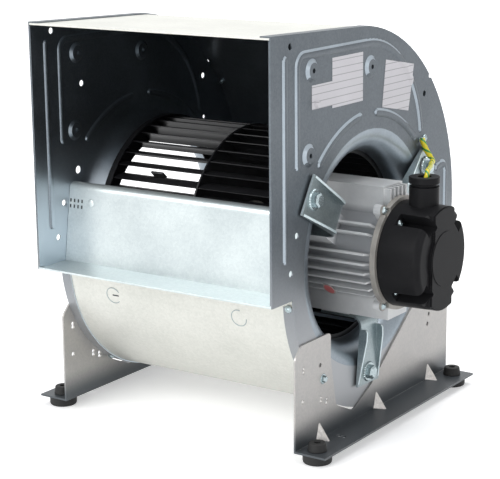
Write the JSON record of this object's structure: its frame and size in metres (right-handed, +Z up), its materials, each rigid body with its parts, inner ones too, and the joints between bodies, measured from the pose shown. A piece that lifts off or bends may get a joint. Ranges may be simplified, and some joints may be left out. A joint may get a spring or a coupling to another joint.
{
  "type": "double-inlet centrifugal blower",
  "caption": "Forward-curved double-inlet centrifugal blower in a galvanised scroll casing, with a motor held in one inlet on three arms, a rectangular outlet and two pressed legs.",
  "frame": {"origin": "on the floor, at the centre of the four foot holes", "axes": "+X along the shaft toward the motor side, +Y toward the back (the outlet faces -Y), +Z up"},
  "size_m": [0.4266, 0.3736, 0.431],
  "materials": {
    "galvanised": "galvanised sheet with a fine spangle",
    "wrap_sheet": "bright galvanised sheet",
    "zinc": "satin zinc plating",
    "black_paint": "black painted sheet",
    "cast_alloy": "die-cast, as cast",
    "black_plastic": "satin moulded",
    "rubber": "matt",
    "plain_steel": "turned and ground",
    "copper": "enamelled wire",
    "block_plastic": "moulded",
    "lead_sleeve": "yellow sleeve with green stripes"
  },
  "bodies": {
    "housing": {"side_plate_right": "galvanised", "side_plate_left": "galvanised", "leg_right": "galvanised", "leg_left": "galvanised", "scroll_wrap": "wrap_sheet", "cutoff_panel": "wrap_sheet", "arm_front": "zinc", "arm_rear": "zinc", "arm_bottom": "zinc", "leg_bolts": "zinc", "leg_nuts": "zinc", "arm_bolts": "zinc", "arm_nuts": "zinc", "arm_foot_screws": "zinc", "wrap_screws": "zinc", "shield_screws": "zinc", "cap_screws": "zinc", "ring_terminal": "zinc", "earth_screw": "zinc", "motor_housing": "cast_alloy", "drive_end_shield": "cast_alloy", "outer_end_shield": "cast_alloy", "terminal_cap": "black_plastic", "gland_nut": "black_plastic", "rubber_feet": "rubber", "arm_bushes": "rubber", "gland_seal": "rubber", "stator_core": "plain_steel", "bearing_inner": "plain_steel", "bearing_outer": "plain_steel", "toothed_washer": "plain_steel", "stator_windings": "copper", "terminal_block": "block_plastic", "earth_lead": "lead_sleeve"},
    "impeller": {"impeller_disc": "black_paint", "blades_left": "black_paint", "blades_right": "black_paint", "end_ring_left": "black_paint", "end_ring_right": "black_paint", "hub": "cast_alloy", "hub_rivets": "zinc", "set_screw": "plain_steel", "balance_clip": "plain_steel", "motor_shaft": "plain_steel", "rotor_core": "plain_steel"}
  },
  "joints": [
    {"name": "impeller_spin", "type": "hinge", "parent": "housing", "child": "impeller", "pos_m": [0, -0.017, 0.193], "axis": [1, 0, 0], "continuous": true}
  ]
}
